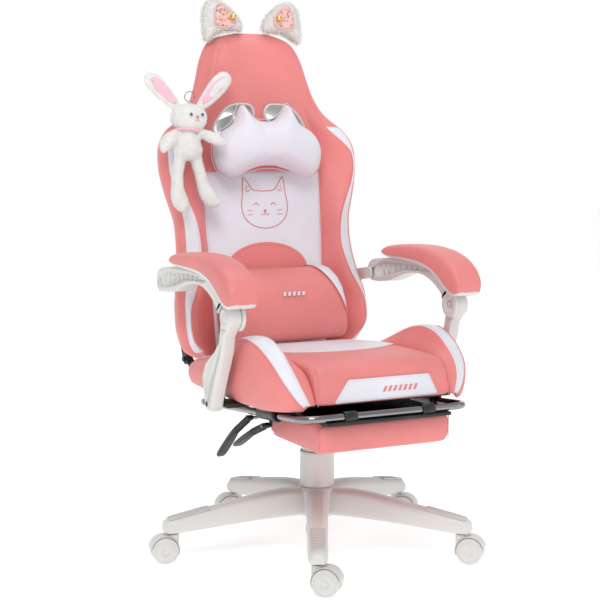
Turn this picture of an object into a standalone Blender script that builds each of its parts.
"""Gaming chair: five-star swivel base, gas lift, bucket seat, reclining back with
linked arms, slide-and-flip footrest, neck pillow, lumbar bolster, clip-on cat
ears and a hanging plush.  Metres, +Z up, the chair faces -Y, feet on Z = 0,
the origin is the bottom centre of the bounding box."""
import bpy
import bmesh
import math
from mathutils import Vector

# ---------------------------------------------------------------- dimensions
SHIFT_X, SHIFT_Y = 0.01805, -0.03866  # column axis measured from the bounding box centre
FLOOR = 0.025  # floor height in the working frame; taken off at the end
TRAIL = 0.021  # caster stem to wheel axle
GAP = 0.0004               # clearance between touching pieces
BACK_TILT = math.radians(9.0)
BACK_Y, BACK_Z = 0.2241, 0.471      # foot of the back's front plane
BASE_TURN = -0.4732677     # yaw of the star base
CASTER_R = 0.345           # stem circle
WHEEL_R = 0.030
TUBE_R = 0.008             # footrest tube
TUBE_X = 0.200
TUBE_Y0, TUBE_Z0 = 0.200, 0.358     # rear end of the tube
TUBE_SLOPE = math.radians(5.07)
BAR_Y = -0.330             # front bar of the footrest
ARM_X0, ARM_X1 = 0.262, 0.306       # arm bar, inner and outer face
PAD_X0, PAD_X1 = 0.2420, 0.3180
KNUCKLE = (-0.150, 0.604)  # leg to bar pivot (y, z)
LEG_FOOT = (-0.058, 0.404) # leg to seat pivot
ARM_REAR = (0.210, 0.648)  # bar to back pivot
RECLINE = (0.302, 0.448)   # back to seat pivot
PIN_R, HOLE_R = 0.0060, 0.0065


def clear_scene():
    for o in list(bpy.data.objects):
        bpy.data.objects.remove(o, do_unlink=True)


def material(name, rgb, rough, metal=0.0):
    m = bpy.data.materials.new(name)
    m.use_nodes = True
    b = m.node_tree.nodes["Principled BSDF"]
    b.inputs["Base Color"].default_value = (rgb[0], rgb[1], rgb[2], 1.0)
    b.inputs["Roughness"].default_value = rough
    b.inputs["Metallic"].default_value = metal
    return m


PINK = ((0.82, 0.35, 0.35), 0.45, 0.0)
PINKD = ((0.70, 0.24, 0.25), 0.45, 0.0)
WHITE = ((0.86, 0.85, 0.90), 0.40, 0.0)
PLASTIC = ((0.80, 0.79, 0.77), 0.40, 0.0)
BLACK = ((0.03, 0.03, 0.032), 0.45, 0.0)
STEEL = ((0.25, 0.25, 0.26), 0.35, 1.0)
CHROME = ((0.72, 0.72, 0.74), 0.12, 1.0)
FUR = ((0.90, 0.88, 0.86), 0.95, 0.0)
GOLD = ((0.85, 0.60, 0.22), 0.25, 1.0)


def make(name, verts, faces, look, smooth=True):
    bm = bmesh.new()
    vs = [bm.verts.new(v) for v in verts]
    for f in faces:
        bm.faces.new([vs[i] for i in f])
    bmesh.ops.recalc_face_normals(bm, faces=bm.faces)
    me = bpy.data.meshes.new(name)
    bm.to_mesh(me)
    bm.free()
    ob = bpy.data.objects.new(name, me)
    bpy.context.scene.collection.objects.link(ob)
    if look is not None:
        me.materials.append(material(name + "_mat", *look))
    if smooth:
        for p in me.polygons:
            p.use_smooth = True
    return ob


def loft(name, rings, look, smooth=True):
    n = len(rings[0])
    verts = [p for r in rings for p in r]
    faces = []
    for k in range(len(rings) - 1):
        for i in range(n):
            j = (i + 1) % n
            faces.append((k * n + i, k * n + j, (k + 1) * n + j, (k + 1) * n + i))
    faces.append(tuple(range(n)))
    faces.append(tuple((len(rings) - 1) * n + i for i in range(n)))
    return make(name, verts, faces, look, smooth)


def inset(outline, r):
    """Outline moved inwards by r along its mitred corner normals."""
    n = len(outline)
    area = sum(outline[i][0] * outline[(i + 1) % n][1] - outline[(i + 1) % n][0] * outline[i][1] for i in range(n))
    sgn = 1.0 if area > 0 else -1.0
    out = []
    for i in range(n):
        a, b, c = outline[i - 1], outline[i], outline[(i + 1) % n]
        d1 = (b[0] - a[0], b[1] - a[1])
        d2 = (c[0] - b[0], c[1] - b[1])
        l1 = math.hypot(*d1) or 1e-9
        l2 = math.hypot(*d2) or 1e-9
        n1 = (-d1[1] / l1 * sgn, d1[0] / l1 * sgn)
        n2 = (-d2[1] / l2 * sgn, d2[0] / l2 * sgn)
        m = (n1[0] + n2[0], n1[1] + n2[1])
        q = m[0] * m[0] + m[1] * m[1]
        k = 2.0 / q if q > 0.6 else 2.0 / 0.6
        out.append((b[0] + m[0] * k * r, b[1] + m[1] * k * r))
    return out


def prism(name, outline, w0, w1, put, look, r=0.0, steps=2, smooth=True):
    """Outline extruded from w0 to w1, long edges rounded by r."""
    rings = []
    if r <= 0:
        rings = [[put(a, b, w0) for a, b in outline], [put(a, b, w1) for a, b in outline]]
    else:
        for k in range(steps + 1):
            t = math.pi / 2 * k / steps
            o = inset(outline, r * (1 - math.sin(t)))
            rings.append([put(a, b, w0 + r * (1 - math.cos(t))) for a, b in o])
        for k in range(steps, -1, -1):
            t = math.pi / 2 * k / steps
            o = inset(outline, r * (1 - math.sin(t)))
            rings.append([put(a, b, w1 - r * (1 - math.cos(t))) for a, b in o])
    return loft(name, rings, look, smooth)


def frame_of(axis):
    z = Vector(axis).normalized()
    h = Vector((0, 0, 1)) if abs(z.z) < 0.9 else Vector((1, 0, 0))
    x = h.cross(z).normalized()
    y = z.cross(x)
    return x, y, z


def lathe(name, profile, origin, axis, seg, look, closed=False):
    """Profile of (radius, height) turned about an axis."""
    x, y, z = frame_of(axis)
    o = Vector(origin)
    verts, faces, idx = [], [], []
    for r, h in profile:
        row = []
        if r < 1e-7:
            row = [len(verts)] * seg
            verts.append(tuple(o + z * h))
        else:
            for i in range(seg):
                t = 2 * math.pi * i / seg
                row.append(len(verts))
                verts.append(tuple(o + z * h + (x * math.cos(t) + y * math.sin(t)) * r))
        idx.append(row)
    m = len(profile)
    for k in range(m if closed else m - 1):
        a, b = idx[k], idx[(k + 1) % m]
        for i in range(seg):
            j = (i + 1) % seg
            f = []
            for v in (a[i], a[j], b[j], b[i]):
                if v not in f:
                    f.append(v)
            if len(f) > 2:
                faces.append(tuple(f))
    return make(name, verts, faces, look)


def rod(name, p0, p1, r, seg, look):
    a, b = Vector(p0), Vector(p1)
    return lathe(name, [(0, 0), (r, 0), (r, (b - a).length), (0, (b - a).length)], p0, b - a, seg, look)


def sweep(name, path, r, seg, look):
    pts = [Vector(p) for p in path]
    n = len(pts)
    tang = []
    for i in range(n):
        a = pts[max(i - 1, 0)]
        b = pts[min(i + 1, n - 1)]
        tang.append((b - a).normalized())
    x, y, z = frame_of(tang[0])
    rings = []
    for i in range(n):
        t = tang[i]
        x = (x - t * x.dot(t)).normalized()
        y = t.cross(x)
        rr = r[i] if isinstance(r, (list, tuple)) else r
        rings.append([tuple(pts[i] + (x * math.cos(2 * math.pi * k / seg) + y * math.sin(2 * math.pi * k / seg)) * rr) for k in range(seg)])
    return loft(name, rings, look)


def ball(name, c, rx, ry, rz, look, seg=12, rows=7, turn=(0, 0, 0)):
    from mathutils import Euler
    e = Euler(turn).to_matrix()
    verts = [tuple(Vector(c) + e @ Vector((0, 0, -rz)))]
    faces = []
    for k in range(1, rows):
        t = -math.pi / 2 + math.pi * k / rows
        for i in range(seg):
            u = 2 * math.pi * i / seg
            verts.append(tuple(Vector(c) + e @ Vector((rx * math.cos(t) * math.cos(u), ry * math.cos(t) * math.sin(u), rz * math.sin(t)))))
    verts.append(tuple(Vector(c) + e @ Vector((0, 0, rz))))
    for i in range(seg):
        j = (i + 1) % seg
        faces.append((0, 1 + i, 1 + j))
        for k in range(rows - 2):
            a = 1 + k * seg
            faces.append((a + i, a + j, a + seg + j, a + seg + i))
        a = 1 + (rows - 2) * seg
        faces.append((a + i, a + j, len(verts) - 1))
    return make(name, verts, faces, look)


def combine(ob, other, op):
    mod = ob.modifiers.new("b", 'BOOLEAN')
    mod.object = other
    mod.operation = op
    mod.solver = 'EXACT'
    bpy.context.view_layer.update()
    dg = bpy.context.evaluated_depsgraph_get()
    me = bpy.data.meshes.new_from_object(ob.evaluated_get(dg))
    ob.modifiers.remove(mod)
    old = ob.data
    mats = [m for m in old.materials]
    ob.data = me
    me.name = ob.name
    me.materials.clear()
    for m in mats[:1]:
        me.materials.append(m)
    for p in me.polygons:
        p.material_index = 0
    bpy.data.meshes.remove(old)
    bpy.data.objects.remove(other, do_unlink=True)
    bm = bmesh.new()
    bm.from_mesh(ob.data)
    bmesh.ops.remove_doubles(bm, verts=bm.verts, dist=2e-6)
    bmesh.ops.dissolve_degenerate(bm, edges=bm.edges, dist=1e-6)
    bm.to_mesh(ob.data)
    bm.free()
    return ob


def join(ob, other):
    return combine(ob, other, 'UNION')


def cut(ob, other):
    return combine(ob, other, 'DIFFERENCE')


def arc(cy, cz, r, a0, a1, n):
    return [(cy + r * math.cos(math.radians(a0 + (a1 - a0) * i / n)), cz + r * math.sin(math.radians(a0 + (a1 - a0) * i / n))) for i in range(n + 1)]


def lerp(tab, t):
    """Value of a (key, value) table at t, smoothly between keys."""
    if t <= tab[0][0]:
        return tab[0][1]
    for (a, va), (b, vb) in zip(tab, tab[1:]):
        if t <= b:
            u = (t - a) / (b - a)
            return va + (vb - va) * u
    return tab[-1][1]


def X_(side):
    """(y, z, x) extruded sideways; side is -1 left, +1 right."""
    return lambda a, b, w: (side * w, a, b)


def XYZ(a, b, w):
    return (a, b, w)


ST, CT = math.sin(BACK_TILT), math.cos(BACK_TILT)


def back(x, s, d):
    """Point of the back: x across, s up the back, d forward of its front plane."""
    return (x, BACK_Y + s * ST - d * CT, BACK_Z + s * CT + d * ST)


def Bk(a, b, w):
    return back(a, b, w)


# ------------------------------------------------------------------- the base
def star_base():
    hub = lathe("star_base", [(0, 0.108), (0.038, 0.108), (0.046, 0.116), (0.046, 0.171), (0.040, 0.179), (0, 0.179)], (0, 0, 0), (0, 0, 1), 30, PLASTIC)
    legs = [(0.018, 0.114, 0.172, 0.027), (0.060, 0.113, 0.176, 0.026), (0.130, 0.110, 0.170, 0.0245), (0.220, 0.103, 0.153, 0.0235),
            (0.300, 0.096, 0.137, 0.0225), (0.350, 0.092, 0.127, 0.0215), (0.366, 0.094, 0.121, 0.016)]
    for i in range(5):
        t = BASE_TURN - math.pi / 2 + i * 2 * math.pi / 5
        c, s = math.cos(t), math.sin(t)
        rings = []
        for r, z0, z1, hw in legs:
            sec = [(-hw, z0 + 0.006), (-hw + 0.006, z0), (hw - 0.006, z0), (hw, z0 + 0.006), (hw, z1 - 0.012), (hw - 0.005, z1 - 0.004), (hw - 0.013, z1), (-hw + 0.013, z1), (-hw + 0.005, z1 - 0.004), (-hw, z1 - 0.012)]
            rings.append([(r * c - v * s, r * s + v * c, z) for v, z in sec])
        leg = loft("leg_cut", rings, None)
        join(hub, leg)
    cut(hub, rod("cut", (0, 0, 0.10), (0, 0, 0.19), 0.0256, 30, None))
    for i in range(5):
        t = BASE_TURN - math.pi / 2 + i * 2 * math.pi / 5
        p = (CASTER_R * math.cos(t), CASTER_R * math.sin(t))
        cut(hub, rod("cut", (p[0], p[1], 0.085), (p[0], p[1], 0.1125), 0.0062, 14, None))
    return hub


def column():
    lathe("gas_lift_cylinder", [(0, 0.060), (0.023, 0.060), (0.025, 0.064), (0.025, 0.258), (0.0235, 0.260), (0.0147, 0.260), (0.0147, 0.085), (0, 0.085)], (0, 0, 0), (0, 0, 1), 26, BLACK)
    lathe("gas_lift_rod", [(0, 0.140), (0.0135, 0.140), (0.0140, 0.142), (0.0140, 0.352), (0.0120, 0.360), (0, 0.360)], (0, 0, 0), (0, 0, 1), 22, CHROME)
    for nm, ro, ri, z0, z1 in (("lower", 0.0400, 0.0375, 0.1795, 0.262), ("middle", 0.0362, 0.0337, 0.212, 0.302), ("upper", 0.0324, 0.0299, 0.256, 0.336)):
        lathe("column_cover_" + nm, [(ro - 0.0006, z0), (ro, z0 + 0.001), (ro, z1 - 0.002), (ro - 0.001, z1), (ri, z1), (ri, z0)], (0, 0, 0), (0, 0, 1), 22, PLASTIC, closed=True)


def casters():
    rr = Vector((0.8926, -0.451, 0))
    ww = Vector((0.451, 0.8926, 0))
    f = rr * math.cos(math.radians(17)) - ww * math.sin(math.radians(17))
    g = -rr * math.cos(math.radians(18)) - ww * math.sin(math.radians(18))
    trail = [f, f, f, g, g]
    for i in range(5):
        t = BASE_TURN - math.pi / 2 + i * 2 * math.pi / 5
        st = Vector((CASTER_R * math.cos(t), CASTER_R * math.sin(t), 0))
        d = trail[i].normalized()
        ax = Vector((-d.y, d.x, 0))
        c = st + d * TRAIL + Vector((0, 0, FLOOR + WHEEL_R))
        n = "caster_%d" % (i + 1)

        def put(a, b, w, c=c, d=d, ax=ax):
            return tuple(c + d * a + Vector((0, 0, b)) + ax * w)
        hood = arc(0.0, 0.0, 0.0335, 205, 15, 9) + [(0.030, -0.004), (0.012, -0.012), (-0.006, -0.012), (-0.020, -0.002)]
        house = prism(n + "_housing", hood, -0.0065, 0.0065, put, PLASTIC, r=0.0015, steps=1)
        neck = lathe("u", [(0, FLOOR + 0.036), (0.0140, FLOOR + 0.036), (0.0140, FLOOR + 0.0655), (0, FLOOR + 0.0655)], tuple(st), (0, 0, 1), 20, None)
        join(house, neck)
        fender = prism("u", arc(0.0, 0.0, 0.0335, 200, 15, 10) + arc(0.0, 0.0, 0.0314, 15, 200, 10), -0.0180, 0.0180, put, None)
        join(house, fender)
        for sd in (-1, 1):
            cut(house, lathe("u", [(0, 0.0066), (0.0312, 0.0066), (0.0312, 0.0300), (0, 0.0300)], tuple(c), tuple(ax * sd), 28, None))
        join(house, rod("u", tuple(st + Vector((0, 0, FLOOR + 0.050))), tuple(st + Vector((0, 0, 0.1115))), 0.0056, 14, None))
        join(house, rod("u", tuple(c - ax * 0.0215), tuple(c + ax * 0.0215), 0.0042, 12, None))
        for k, sd in (("a", -1), ("b", 1)):
            lathe(n + "_wheel_" + k, [(0.0047, 0.0072), (0.026, 0.0072), (WHEEL_R, 0.0095), (WHEEL_R, 0.0215), (0.0275, 0.0250), (0.012, 0.0245), (0.0047, 0.0240)], tuple(c), tuple(ax * sd), 16, PLASTIC, closed=True)


# --------------------------------------------------------------- under the seat
def seat_floor(y):
    return 0.4105 + 0.035 * (0.19 - y)


def tube_z(y):
    return TUBE_Z0 + (TUBE_Y0 - y) * math.tan(TUBE_SLOPE)


def under_seat():
    box = [(-0.072, -0.074), (0.072, -0.074), (0.076, -0.070), (0.076, 0.108), (0.070, 0.114), (-0.070, 0.114), (-0.076, 0.108), (-0.076, -0.070)]
    m = prism("mechanism_housing", box, 0.340, 0.389, XYZ, BLACK, r=0.004, steps=1)
    plate = [(-0.115, -0.078), (0.115, -0.078), (0.115, 0.118), (-0.115, 0.118)]
    join(m, prism("u", plate, 0.388, 0.3962, XYZ, None))
    cut(m, rod("c", (0, 0, 0.33), (0, 0, 0.3625), 0.0145, 22, None))

    rings = []
    for y in (0.172, -0.252):
        z = seat_floor(y)
        rings.append([(x, y, zz) for x, zz in ((-0.202, z - 0.0120), (0.202, z - 0.0120), (0.204, z - 0.009), (0.204, z - GAP), (-0.204, z - GAP), (-0.204, z - 0.009))])
    loft("seat_pan", rings, STEEL, smooth=False)

    # crossbar with the two pivots of the arm legs
    y0, y1 = -0.093, -0.023
    b = prism("arm_base_bracket", [(-0.2685, y0), (0.2685, y0), (0.2685, y1), (-0.2685, y1)], 0.3970, 0.4052, XYZ, STEEL)
    for s in (-1, 1):
        ear = arc(LEG_FOOT[0], LEG_FOOT[1], 0.0145, -20, 200, 8) + [(-0.093, 0.3972), (-0.023, 0.3972)]
        join(b, prism("u", ear, 0.2620, 0.2685, X_(s), None))
        join(b, rod("u", (s * 0.266, *LEG_FOOT), (s * 0.3035, *LEG_FOOT), PIN_R, 14, None))

    # crossbar with the two ears of the recline hinge
    h = prism("seat_hinge_bracket", [(-0.1985, 0.125), (0.1985, 0.125), (0.1985, 0.165), (-0.1985, 0.165)], 0.3865, 0.3985, XYZ, STEEL)
    for s in (-1, 1):
        o = [(0.100, 0.3985), (0.100, 0.3865), (0.205, 0.3865), (0.270, 0.410)] + arc(RECLINE[0], RECLINE[1], 0.0135, -55, 150, 8) + [(0.262, 0.432), (0.203, 0.3985)]
        join(h, prism("u", o, 0.1915, 0.1985, X_(s), None))
        join(h, rod("u", (s * 0.195, *RECLINE), (s * 0.2125, *RECLINE), PIN_R, 14, None))


def slide_put(side, y0):
    """Frame along the footrest tube: a across, b up, w forwards from y0."""
    c, s = math.cos(TUBE_SLOPE), math.sin(TUBE_SLOPE)

    def put(a, b, w):
        return (side * TUBE_X + a, y0 - w * c + b * s, tube_z(y0) + w * s + b * c)
    return put


def footrest():
    n = 20
    for side, nm in ((-1, "left"), (1, "right")):
        put = slide_put(side, -0.117)
        rings = []
        for w in (0.0, 0.089):
            outer, inner = [], []
            for i in range(n):
                t = 2 * math.pi * i / n
                c, s = math.cos(t), math.sin(t)
                k = 0.0130 if s <= 0 else min(0.0130 / max(abs(c), 1e-6), 0.0175 / max(s, 1e-6))
                outer.append(put(c * k, s * k, w))
                inner.append(put(c * 0.0085, s * 0.0085, w))
            rings.append((outer, inner))
        verts = rings[0][0] + rings[1][0] + rings[1][1] + rings[0][1]
        faces = []
        for q in range(4):
            for i in range(n):
                j = (i + 1) % n
                faces.append((q * n + i, q * n + j, ((q + 1) % 4) * n + j, ((q + 1) % 4) * n + i))
        sl = make("footrest_sleeve_" + nm, verts, faces, BLACK)
        if side < 0:
            lug = [(-0.152, 0.385), (-0.134, 0.385)] + arc(-0.143, 0.3620, 0.0055, 0, -180, 5)
            join(sl, prism("u", lug, -0.1890, -0.1868, lambda a, b, w: (w, a, b), None))
            join(sl, rod("u", (-0.188, -0.143, 0.3620), (-0.2105, -0.143, 0.3620), 0.0025, 10, None))

    # chrome U tube
    c, s = math.cos(TUBE_SLOPE), math.sin(TUBE_SLOPE)
    R = 0.035
    path = [(-TUBE_X, TUBE_Y0, TUBE_Z0), (-TUBE_X, 0.0, tube_z(0.0))]
    yb = BAR_Y + R
    for k in range(7):
        t = math.pi / 2 * k / 6
        y = yb - R * math.sin(t)
        path.append((-TUBE_X + R * (1 - math.cos(t)), y, tube_z(y)))
    path += [(-0.06, BAR_Y, tube_z(BAR_Y)), (0.06, BAR_Y, tube_z(BAR_Y))]
    path = path + [(-x, y, z) for x, y, z in path[-3::-1]]
    sweep("footrest_frame", path, TUBE_R, 14, CHROME)

    zb = tube_z(BAR_Y)
    pl = [(-0.150, -0.340), (0.150, -0.340), (0.150, -0.100), (-0.150, -0.100)]
    bd = prism("footrest_board", pl, zb - 0.0165, zb - 0.0088, XYZ, BLACK)
    for s_ in (-1, 1):
        ring = lathe("u", [(0.0085, -0.015), (0.0118, -0.015), (0.0118, 0.015), (0.0085, 0.015)], (s_ * 0.095, BAR_Y, zb), (1, 0, 0), 18, None, closed=True)
        join(bd, ring)
    z1 = zb - 0.0165 - GAP
    z0 = 0.322
    o = [(-0.163, -0.312), (-0.157, -0.318), (0.157, -0.318), (0.163, -0.312), (0.163, -0.091), (0.157, -0.085), (-0.157, -0.085), (-0.163, -0.091)]
    prism("footrest_pad", o, z0, z1, XYZ, PINK, r=0.011, steps=3)


def levers():
    def lever(name, p0, p1, p2, link):
        a, b, c = Vector((0,) + p0), Vector((0,) + p1), Vector((0,) + p2)
        sec = []
        for p, q, t, hw, th in ((a, b, 0.06, 0.0075, 0.0045), (a, b, 0.55, 0.0075, 0.0045), (a, b, 1.0, 0.0085, 0.0045), (b, c, 0.25, 0.0110, 0.0045), (b, c, 0.92, 0.0115, 0.0040), (b, c, 1.0, 0.0085, 0.0030)):
            m = p + (q - p) * t
            d = (q - p).normalized()
            nrm = Vector((0, -d.z, d.y))
            sec.append([(-0.200 + x, m.y + nrm.y * k, m.z + nrm.z * k) for x, k in ((-hw, -th * .5), (-hw + .002, -th), (hw - .002, -th), (hw, -th * .5), (hw, th * .5), (hw - .002, th), (-hw + .002, th), (-hw, th * .5))])
        ob = loft(name, sec, BLACK)
        knob = rod("u", (-0.2075, *p0), (-0.1925, *p0), 0.0055, 14, None)
        join(ob, knob)
        if link:
            join(ob, rod("u", (-0.1950, *p0), (-0.0768, *p0), 0.0035, 12, None))
        else:
            cut(ob, rod("c", (-0.215, *p0), (-0.185, *p0), 0.0029, 10, None))
        return ob
    lever("height_lever", (-0.057, 0.3640), (0.019, 0.320), (0.107, 0.246), True)
    lever("recline_lever", (-0.143, 0.3620), (-0.070, 0.333), (0.013, 0.289), False)


# --------------------------------------------------------------------- the seat
def seat():
    # centre cushion: sections along y, (top z, half width, bottom lift)
    st = [(0.196, 0.462, 0.150, 0.012), (0.188, 0.483, 0.162, 0.0), (0.150, 0.4915, 0.1648, 0.0), (0.060, 0.5015, 0.1648, 0.0), (-0.050, 0.512, 0.1648, 0.0),
          (-0.160, 0.514, 0.1648, 0.0), (-0.240, 0.513, 0.1645, 0.0), (-0.282, 0.507, 0.1640, 0.0), (-0.303, 0.494, 0.1635, 0.0), (-0.311, 0.478, 0.1630, 0.001), (-0.313, 0.455, 0.1600, 0.006)]
    rings = []
    for y, zt, hw, lift in st:
        zb = seat_floor(y) + lift
        h = zt - zb
        sec = [(-hw, zb + 0.002), (0, zb), (hw, zb + 0.002), (hw, zb + h * 0.5), (hw, zt - 0.012), (hw - 0.008, zt - 0.003), (hw * 0.55, zt), (0, zt + 0.001), (-hw * 0.55, zt), (-hw + 0.008, zt - 0.003), (-hw, zt - 0.012), (-hw, zb + h * 0.5)]
        rings.append([(x, y, z) for x, z in sec])
    loft("seat_cushion", rings, PINK)
    # wings: y, outer x, peak z, peak x, outer bottom z
    wt = [(0.192, 0.232, 0.452, 0.205, 0.418), (0.184, 0.250, 0.464, 0.212, 0.411), (0.130, 0.2545, 0.476, 0.214, 0.408), (0.076, 0.2560, 0.488, 0.216, 0.4075), (0.005, 0.2570, 0.515, 0.219, 0.407),
          (-0.068, 0.2570, 0.544, 0.222, 0.407), (-0.109, 0.2565, 0.555, 0.222, 0.4065), (-0.144, 0.2555, 0.559, 0.221, 0.4065), (-0.183, 0.2535, 0.554, 0.219, 0.4065), (-0.217, 0.249, 0.540, 0.215, 0.407),
          (-0.240, 0.2435, 0.524, 0.212, 0.408), (-0.262, 0.236, 0.508, 0.208, 0.410), (-0.284, 0.224, 0.488, 0.199, 0.412), (-0.300, 0.207, 0.466, 0.188, 0.414), (-0.309, 0.188, 0.450, 0.179, 0.420)]
    for s, nm in ((-1, "left"), (1, "right")):
        rings = []
        for y, xo, zp, xp, zo in wt:
            zi = seat_floor(y)
            x0 = 0.1653
            top = min(zp, lerp([(-0.313, 0.455), (-0.303, 0.490), (-0.282, 0.500), (-0.2, 0.508), (0.15, 0.488), (0.19, 0.462)], y))
            w = xo - x0
            sec = [(x0, zi + 0.002), (x0 + w * 0.30, zi + 0.0015), (x0 + w * 0.68, zi + 0.0010), (xo - min(0.010, w * 0.3), zo), (xo, zo + 0.006), (xo + 0.0005, zo + (zp - zo) * 0.55),
                   (xo - w * 0.08, zp - (zp - zo) * 0.18), (xp + (xo - xp) * 0.45, zp - 0.005), (xp, zp), (x0 + (xp - x0) * 0.62, zp - (zp - top) * 0.30 - 0.001), (x0 + (xp - x0) * 0.25, top + (zp - top) * 0.15 - 0.002), (x0, top - 0.006)]
            rings.append([(s * x, y, z) for x, z in sec])
        loft("seat_wing_" + nm, rings, PINK)


# --------------------------------------------------------------------- the back
HW = [(-0.012, 0.205), (0.000, 0.240), (0.028, 0.262), (0.066, 0.276), (0.1185, 0.268), (0.145, 0.2550), (0.165, 0.2495), (0.220, 0.238), (0.277, 0.235), (0.317, 0.236), (0.3635, 0.248), (0.413, 0.260),
      (0.4526, 0.2655), (0.481, 0.266), (0.515, 0.259), (0.540, 0.240), (0.5538, 0.222), (0.570, 0.198), (0.590, 0.183), (0.6277, 0.163), (0.670, 0.150), (0.7128, 0.138), (0.745, 0.124), (0.765, 0.108), (0.7765, 0.086), (0.7816, 0.060)]
RIDGE = [(0.0, 0.195), (0.024, 0.222), (0.067, 0.240), (0.111, 0.234), (0.141, 0.221), (0.20, 0.200), (0.259, 0.190), (0.309, 0.195), (0.359, 0.212), (0.41, 0.236), (0.449, 0.246), (0.476, 0.245), (0.507, 0.220), (0.5427, 0.178), (0.57, 0.163), (0.62, 0.140), (0.70, 0.116), (0.76, 0.086), (0.79, 0.040)]
EDGE = [(0.0, 0.150), (0.21, 0.152), (0.26, 0.155), (0.36, 0.158), (0.46, 0.160), (0.52, 0.150), (0.57, 0.130), (0.62, 0.112), (0.70, 0.092), (0.76, 0.066), (0.79, 0.030)]
RISE = [(0.0, 0.010), (0.06, 0.020), (0.48, 0.020), (0.54, 0.010), (0.60, 0.004), (0.70, 0.008), (0.75, 0.008), (0.79, -0.006)]
DISH = [(0.0, -0.020), (0.45, -0.020), (0.56, -0.010), (0.64, 0.001), (0.70, 0.010), (0.75, 0.010), (0.79, -0.006)]
REAR = 0.085


def slot_outline(side, grow=0.0):
    o = [(0.013, 0.573), (0.014, 0.588), (0.022, 0.600), (0.036, 0.604), (0.066, 0.603), (0.090, 0.594), (0.110, 0.574), (0.125, 0.549), (0.126, 0.536), (0.117, 0.525), (0.103, 0.521), (0.070, 0.534), (0.030, 0.555), (0.018, 0.563)]
    o = inset(o, -grow)
    return [(side * x, s) for x, s in o]


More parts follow.
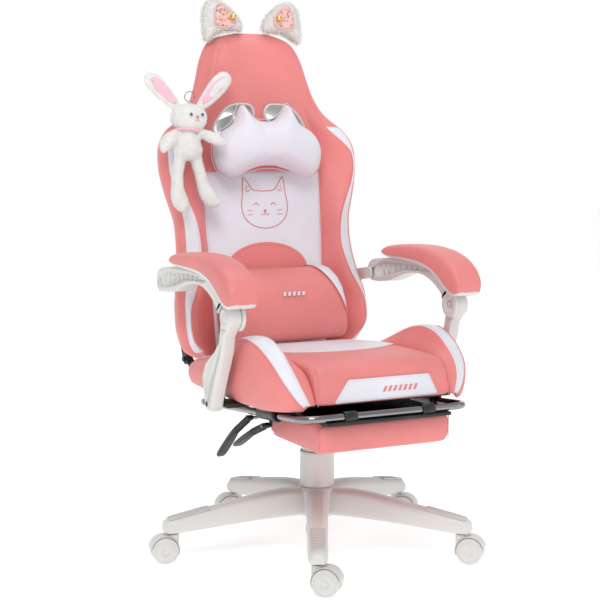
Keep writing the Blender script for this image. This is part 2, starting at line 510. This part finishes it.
def backrest():
    st = [-0.012, 0.000, 0.020, 0.045, 0.075, 0.110, 0.145, 0.180, 0.220, 0.265, 0.310, 0.355, 0.400, 0.440, 0.475, 0.503, 0.525, 0.545, 0.565, 0.590, 0.630, 0.675, 0.715, 0.745, 0.764, 0.776, 0.7816]
    rings = []
    for s in st:
        hw, rx, pe, top, c = lerp(HW, s), lerp(RIDGE, s), lerp(EDGE, s), lerp(RISE, s), lerp(DISH, s)
        rx = min(rx, hw - 0.018)
        pe = min(pe, rx - 0.012)
        half = [(0, c), (pe * 0.55, c), (pe, c - 0.001), (pe + (rx - pe) * 0.35, c + (top - c) * 0.62), (rx - 0.006, top - 0.001), (rx + 0.004, top - 0.0005), (hw - 0.010, top - 0.020), (hw, -0.030 + top * 0.3), (hw - 0.003, -0.062), (hw - 0.018, -0.083), (hw * 0.6, -REAR), (0, -REAR)]
        f = 1.0
        if s < 0.034:
            low = -0.052 - 0.033 * (s + 0.012) / 0.046
            half = [(x, max(q, low)) for x, q in half]
        if s > 0.70:
            k = (s - 0.70) / 0.0816
            f = 1 - 0.42 * k ** 2.2
        dm = -0.028
        ring = [(x, dm + (d - dm) * f) for x, d in half] + [(-x, dm + (d - dm) * f) for x, d in half[-2:0:-1]]
        rings.append([back(x, s, d) for x, d in ring])
    cush = loft("back_cushion", rings, PINK)
    for side in (-1, 1):
        cut(cush, prism("c", slot_outline(side, GAP), -0.13, 0.06, Bk, None))

    # rear cover panel, with the same two slots
    rw = [(0.006, 0.165), (0.016, 0.178), (0.125, 0.182), (0.150, 0.205), (0.22, 0.203), (0.30, 0.202), (0.36, 0.213), (0.44, 0.230), (0.49, 0.224), (0.53, 0.200), (0.57, 0.165), (0.62, 0.138), (0.69, 0.118), (0.73, 0.100), (0.745, 0.080), (0.750, 0.050)]
    o = [(w, s) for s, w in rw] + [(-w, s) for s, w in rw[::-1]]
    rc = prism("back_rear_cover", o, -REAR - GAP - 0.011, -REAR - GAP, Bk, WHITE, r=0.004, steps=1)
    for side in (-1, 1):
        cut(rc, prism("c", slot_outline(side, GAP), -0.13, 0.06, Bk, None))
    # plastic rings lining the slots
    for side, nm in ((-1, "left"), (1, "right")):
        outer, inner = slot_outline(side, 0.0), slot_outline(side, -0.0048)
        n = len(outer)
        d0, d1 = -0.1005, 0.0014
        verts = [back(x, s, d1) for x, s in outer] + [back(x, s, d0) for x, s in outer] + [back(x, s, d0) for x, s in inner] + [back(x, s, d1) for x, s in inner]
        faces = []
        for q in range(4):
            for i in range(n):
                j = (i + 1) % n
                faces.append((q * n + i, q * n + j, ((q + 1) % 4) * n + j, ((q + 1) % 4) * n + i))
        make("slot_bezel_" + nm, verts, faces, PLASTIC, smooth=False)

    # steel brackets that carry the rear pivots of the arms
    d = (ARM_REAR[0] - BACK_Y, ARM_REAR[1] - BACK_Z)
    a_s = d[0] * ST + d[1] * CT
    a_d = -d[0] * CT + d[1] * ST
    for s, nm in ((-1, "left"), (1, "right")):
        o = arc(a_d, a_s, 0.0145, 90, -90, 8) + [(-0.0915, a_s - 0.0145), (-0.0915, a_s + 0.0145)]
        br = prism("arm_pivot_bracket_" + nm, o, 0.2520, 0.2580, lambda a, b, w, s=s: back(s * w, b, a), PLASTIC)
        fl = [(0.216, a_s - 0.0145), (0.2575, a_s - 0.0145), (0.2575, a_s + 0.0145), (0.216, a_s + 0.0145)]
        join(br, prism("u", fl, -0.0915, -0.0858, lambda a, b, w, s=s: back(s * a, b, w), None))
        join(br, rod("u", (s * 0.256, *ARM_REAR), (s * 0.3068, *ARM_REAR), PIN_R, 14, None))
    # recliner arms on the rear of the back
    d = (RECLINE[0] - BACK_Y, RECLINE[1] - BACK_Z)
    r_s = d[0] * ST + d[1] * CT
    r_d = -d[0] * CT + d[1] * ST
    for s, nm in ((-1, "left"), (1, "right")):
        o = [(-0.0857, 0.130), (-0.0857, 0.036), (-0.0800, 0.012)] + arc(r_d, r_s, 0.0135, 60, -150, 8) + [(-0.1030, 0.020), (-0.0990, 0.130)]
        ra = prism("recliner_arm_" + nm, o, 0.1990, 0.2065, lambda a, b, w, s=s: back(s * w, b, a), STEEL)
        cut(ra, rod("c", (s * 0.19, *RECLINE), (s * 0.22, *RECLINE), HOLE_R, 14, None))


def accessories():
    # neck pillow: a soft cat-head outline with two ear corners
    o = [(0.001, 0.560), (0.030, 0.566), (0.046, 0.582), (0.060, 0.597), (0.068, 0.598), (0.078, 0.580), (0.090, 0.556), (0.118, 0.535), (0.137, 0.514), (0.147, 0.488), (0.146, 0.458), (0.130, 0.428), (0.103, 0.414), (0.070, 0.420), (0.035, 0.434)]
    o = o + [(0.0, 0.438)] + [(-x, s) for x, s in o[:0:-1]]
    rings = []
    for d, r in ((0.0020, 0.030), (0.0070, 0.014), (0.0180, 0.004), (0.0360, 0.0), (0.0540, 0.004), (0.0700, 0.014), (0.0800, 0.030), (0.0845, 0.050)):
        q = inset(o, r * 0.42)
        k = 1 - r * 0.9
        cx, cs = 0.0, 0.492
        rings.append([back(cx + (x - cx) * (k - r * 1.4), cs + (s - cs) * (k - r * 3.0), d) for x, s in q])
    loft("neck_pillow", rings, WHITE)
    # elastic band of the pillow, through the slots and round the rear
    w0, w1 = 0.552, 0.578
    path = [(-0.0700, 0.0005), (-0.0700, -0.1040), (-0.0680, -0.1060), (0.0680, -0.1060), (0.0700, -0.1040), (0.0700, 0.0005)]
    t = 0.0022
    inner = [(-0.0700 + t, 0.0005), (-0.0700 + t, -0.1030), (-0.0670, -0.1060 + t), (0.0670, -0.1060 + t), (0.0700 - t, -0.1030), (0.0700 - t, 0.0005)]
    prism("neck_strap", path + inner[::-1], w0, w1, lambda a, b, w: back(a, w, b), WHITE, smooth=False)

    # lumbar bolster: D-shaped section, rounded ends
    sec = [(0.0165, 0.006), (0.0155, 0.040), (0.0130, 0.080), (0.0125, 0.103), (0.030, 0.119), (0.065, 0.126), (0.105, 0.122), (0.145, 0.104), (0.178, 0.072), (0.196, 0.035), (0.200, 0.002), (0.190, -0.014), (0.110, -0.0180), (0.032, -0.0140)]
    rings = []
    for x, k in ((-0.146, 0.80), (-0.143, 0.90), (-0.132, 0.97), (-0.110, 1.0), (0.0, 1.01), (0.110, 1.0), (0.132, 0.97), (0.143, 0.90), (0.146, 0.80)):
        cs, cd = 0.105, 0.035
        k = min(k, 1.0)
        rings.append([back(x, cs + (s - cs) * k, cd + (d - cd) * k) for s, d in sec])
    loft("lumbar_cushion", rings, PINK)

    # clip-on ears and their bells
    for sd, nm in ((-1, "left"), (1, "right")):
        e = [(0.030, 0.7832), (0.028, 0.804), (0.044, 0.826), (0.064, 0.846), (0.088, 0.860), (0.108, 0.862), (0.122, 0.852), (0.130, 0.830), (0.133, 0.804), (0.133, 0.775), (0.1285, 0.7560), (0.124, 0.7530), (0.1085, 0.7680), (0.0865, 0.7795), (0.0605, 0.7835)]
        e = [(sd * x, s) for x, s in e]
        prism("cat_ear_" + nm, e, -0.026, 0.018, Bk, FUR, r=0.008, steps=2)
        ball("ear_bell_" + nm, back(sd * 0.062, 0.812, 0.0268), 0.0082, 0.0082, 0.0082, GOLD, seg=12, rows=7)


def plush():
    R = Vector(back(-0.205, 0.545, 0.071))

    def P(x, s, d):
        return back(x, s, d)
    body = ball("plush_rabbit", P(-0.2200, 0.492, 0.062), 0.036, 0.034, 0.040, FUR, seg=14, rows=8)
    join(body, ball("u", P(-0.2130, 0.556, 0.066), 0.044, 0.038, 0.035, None, seg=14, rows=8))
    for a, b, r0, r1 in (((-0.252, 0.512, 0.066), (-0.291, 0.478, 0.070), 0.015, 0.017), ((-0.186, 0.512, 0.070), (-0.150, 0.486, 0.098), 0.015, 0.015),
                         ((-0.238, 0.475, 0.062), (-0.250, 0.350, 0.060), 0.018, 0.019), ((-0.203, 0.475, 0.062), (-0.178, 0.352, 0.060), 0.018, 0.019),
                         ((-0.236, 0.578, 0.064), (-0.300, 0.652, 0.060), 0.011, 0.015), ((-0.188, 0.578, 0.064), (-0.124, 0.652, 0.064), 0.011, 0.015)):
        p, q = Vector(P(*a)), Vector(P(*b))
        path = [tuple(p + (q - p) * t) for t in (0.0, 0.35, 0.75, 1.0, 1.06)]
        rr = [r0, (r0 + r1) / 2, r1, r1 * 0.85, r1 * 0.4]
        join(body, sweep("u", path, rr, 10, None))
    # split ring on the top of the head
    c = Vector(P(-0.2080, 0.6065, 0.066))
    ring = []
    nn = []
    for k in range(18):
        t = 2 * math.pi * k / 18
        for j in range(6):
            u = 2 * math.pi * j / 6
            r = 0.0125 + 0.0013 * math.cos(u)
            nn.append((c.x + r * math.cos(t), c.y + 0.0013 * math.sin(u), c.z + r * math.sin(t)))
    faces = []
    for k in range(18):
        for j in range(6):
            k2, j2 = (k + 1) % 18, (j + 1) % 6
            faces.append((k * 6 + j, k2 * 6 + j, k2 * 6 + j2, k * 6 + j2))
    make("plush_ring", nn, faces, CHROME)


# --------------------------------------------------------------------- the arms
def arms():
    for s, nm in ((-1, "left"), (1, "right")):
        pad = [(0.138, 0.7065), (0.128, 0.7175), (0.100, 0.7245), (0.036, 0.7300), (-0.040, 0.7312), (-0.095, 0.7262), (-0.140, 0.7165), (-0.176, 0.7010), (-0.200, 0.6815), (-0.2120, 0.6610), (-0.2115, 0.6440), (-0.2030, 0.6300), (-0.1900, 0.6230),
               (-0.1780, 0.6240), (-0.1680, 0.6300), (-0.135, 0.6490), (-0.098, 0.6730), (-0.070, 0.6820), (-0.040, 0.6880), (0.026, 0.6920), (0.089, 0.6925), (0.125, 0.6960)]
        prism("arm_pad_" + nm, pad, PAD_X0, PAD_X1, X_(s), PINK, r=0.0115, steps=3)
        g = 0.0006
        top = [(0.089, 0.6925 - g), (0.026, 0.6920 - g), (-0.040, 0.6880 - g), (-0.070, 0.6820 - g), (-0.098, 0.6730 - g), (-0.135, 0.6484), (-0.150, 0.6395)]
        bar = [(0.2300, 0.6600), (0.2240, 0.6740), (0.200, 0.6840), (0.150, 0.6895)] + top + arc(KNUCKLE[0], KNUCKLE[1], 0.0288, 90, 15, 5) + [(-0.110, 0.6290), (-0.068, 0.6520), (-0.018, 0.6640), (0.044, 0.6590), (0.080, 0.6490), (0.121, 0.6360), (0.188, 0.6280), (0.220, 0.6300), (0.2300, 0.6400)]
        b = prism("arm_bar_" + nm, bar, ARM_X0, ARM_X1, X_(s), PLASTIC, r=0.0025, steps=1)
        join(b, prism("u", arc(KNUCKLE[0], KNUCKLE[1], 0.0303, 0, 345, 23), ARM_X0 + 0.0002, 0.2702, X_(s), None))
        cut(b, rod("c", (s * 0.25, *ARM_REAR), (s * 0.32, *ARM_REAR), HOLE_R, 14, None))
        cut(b, rod("c", (s * 0.25, *KNUCKLE), (s * 0.28, *KNUCKLE), HOLE_R, 14, None))
        leg = arc(KNUCKLE[0], KNUCKLE[1], 0.0275, -25, 215, 14) + [(-0.158, 0.576), (-0.1430, 0.560), (-0.1370, 0.530), (-0.118, 0.493), (-0.103, 0.462), (-0.088, 0.434), (-0.0800, 0.410), (-0.0760, 0.395), (-0.066, 0.387), (-0.050, 0.387),
                                                                  (-0.038, 0.394), (-0.034, 0.407), (-0.028, 0.434), (-0.022, 0.462), (-0.042, 0.493), (-0.093, 0.525), (-0.116, 0.546), (-0.122, 0.573)]
        lg = prism("arm_leg_" + nm, leg, 0.2710, 0.3000, X_(s), PLASTIC, r=0.004, steps=2)
        cut(lg, rod("c", (s * 0.26, *LEG_FOOT), (s * 0.32, *LEG_FOOT), HOLE_R, 14, None))
        join(lg, rod("u", (s * 0.275, *KNUCKLE), (s * 0.2622, *KNUCKLE), PIN_R, 14, None))


def main():
    clear_scene()
    star_base()
    column()
    casters()
    under_seat()
    footrest()
    levers()
    seat()
    backrest()
    accessories()
    plush()
    arms()
    for o in bpy.data.objects:
        for v in o.data.vertices:
            v.co.x += SHIFT_X
            v.co.y += SHIFT_Y
            v.co.z -= FLOOR
        o.data.update()


main()
